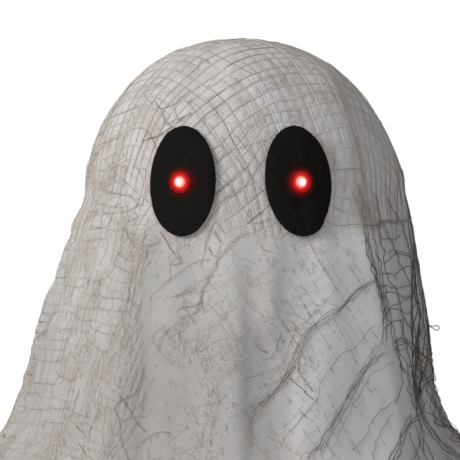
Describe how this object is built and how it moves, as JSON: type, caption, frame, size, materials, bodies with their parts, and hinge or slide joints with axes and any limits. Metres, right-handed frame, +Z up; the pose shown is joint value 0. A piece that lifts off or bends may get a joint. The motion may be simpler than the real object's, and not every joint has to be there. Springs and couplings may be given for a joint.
{
  "type": "light-up swinging ghost decoration",
  "caption": "Cloth ghost under tattered gauze with felt eyes and glowing red lamps, swung side to side by a gear drive in its head on a hidden floor stand.",
  "frame": {"origin": "on the floor, at the middle of the stand's foot", "axes": "+Z up the pole, -Y the way the face looks, +X to the right as one faces the ghost"},
  "size_m": [0.4563, 0.3267, 0.914],
  "materials": {
    "black_plastic": "satin moulded plastic",
    "pole_paint": "black paint",
    "steel": "bright zinc",
    "ballast": "bare plate",
    "foot_rubber": "matt rubber",
    "shell_plastic": "white moulded plastic",
    "gear_plastic": "natural acetal",
    "chassis_plastic": "grey moulded plastic",
    "bush_brass": "turned brass",
    "motor_steel": "plated can",
    "motor_cap": "nylon",
    "cell": "wrapped cells",
    "board": "green circuit board",
    "wire": "insulated wire",
    "lamp_black": "black bezel",
    "lamp_red": "lit red lens",
    "drape_cloth": "white ribbed cloth",
    "gauze_cloth": "loose beige gauze",
    "felt": "black felt"
  },
  "bodies": {
    "stand": {"base_shell": "black_plastic", "base_cover": "black_plastic", "base_screws": "steel", "ballast_plate": "ballast", "rubber_feet": "foot_rubber", "lower_pole": "pole_paint", "pole_collar": "black_plastic", "upper_pole": "pole_paint", "snap_spring": "steel", "pivot_block": "black_plastic", "pole_rivet": "steel", "swing_shaft": "steel", "shaft_spacer": "steel", "shaft_clips": "steel", "sector_gear": "gear_plastic", "sector_screws": "steel"},
    "ghost": {"chassis_front": "chassis_plastic", "chassis_rear": "chassis_plastic", "chassis_screws": "steel", "shaft_bushes": "bush_brass", "gear_axles": "steel", "motor_can": "motor_steel", "motor_end_cap": "motor_cap", "head_shell_front": "shell_plastic", "head_shell_rear": "shell_plastic", "head_screws": "steel", "neck_tube": "shell_plastic", "neck_screws": "steel", "shoulder_yoke": "shell_plastic", "arm_left": "steel", "arm_right": "steel", "arm_tip_left": "shell_plastic", "arm_tip_right": "shell_plastic", "battery_box": "black_plastic", "box_screws": "steel", "battery_cells": "cell", "battery_contacts": "steel", "control_board": "board", "wire_grommet": "foot_rubber", "wire_harness": "wire", "led_holder_left": "lamp_black", "led_holder_right": "lamp_black", "holder_nuts": "lamp_black", "led_left": "lamp_red", "led_right": "lamp_red", "drape": "drape_cloth", "gauze": "gauze_cloth", "eye_patch_left": "felt", "eye_patch_right": "felt"},
    "output_gear": {"output_gear": "gear_plastic"},
    "reduction_gear": {"reduction_gear": "gear_plastic"},
    "motor_rotor": {"motor_pinion": "bush_brass", "motor_shaft": "steel"},
    "battery_door": {"battery_door": "black_plastic"},
    "power_switch": {"power_switch": "black_plastic"},
    "snap_button": {"snap_button": "steel"}
  },
  "joints": [
    {"name": "swing", "type": "hinge", "parent": "stand", "child": "ghost", "pos_m": [0, 0, 0.8434], "axis": [0, 1, 0], "range_deg": [-10, 10]},
    {"name": "output_spin", "type": "hinge", "parent": "ghost", "child": "output_gear", "pos_m": [0, 0, 0.8765], "axis": [0, 1, 0], "range_deg": [-46, 46]},
    {"name": "reduction_spin", "type": "hinge", "parent": "ghost", "child": "reduction_gear", "pos_m": [-0.01889, 0, 0.86963], "axis": [0, 1, 0], "range_deg": [-182, 182]},
    {"name": "motor_spin", "type": "hinge", "parent": "ghost", "child": "motor_rotor", "pos_m": [-0.02576, 0, 0.85074], "axis": [0, 1, 0], "range_deg": [-725, 725]},
    {"name": "door_slide", "type": "slide", "parent": "ghost", "child": "battery_door", "axis": [0, 0, -1], "range_m": [0, 0.057]},
    {"name": "switch_slide", "type": "slide", "parent": "ghost", "child": "power_switch", "axis": [0, 1, 0], "range_m": [0, 0.004]},
    {"name": "button_press", "type": "slide", "parent": "stand", "child": "snap_button", "axis": [0, -1, 0], "range_m": [0, 0.003], "stiffness_N_per_m": 400, "springref_m": -0.002, "deforming": ["snap_spring"]}
  ],
  "couplings": [
    {"joint": "output_spin", "follows": "swing", "ratio": 4.5},
    {"joint": "reduction_spin", "follows": "swing", "ratio": -18},
    {"joint": "motor_spin", "follows": "swing", "ratio": 72}
  ]
}
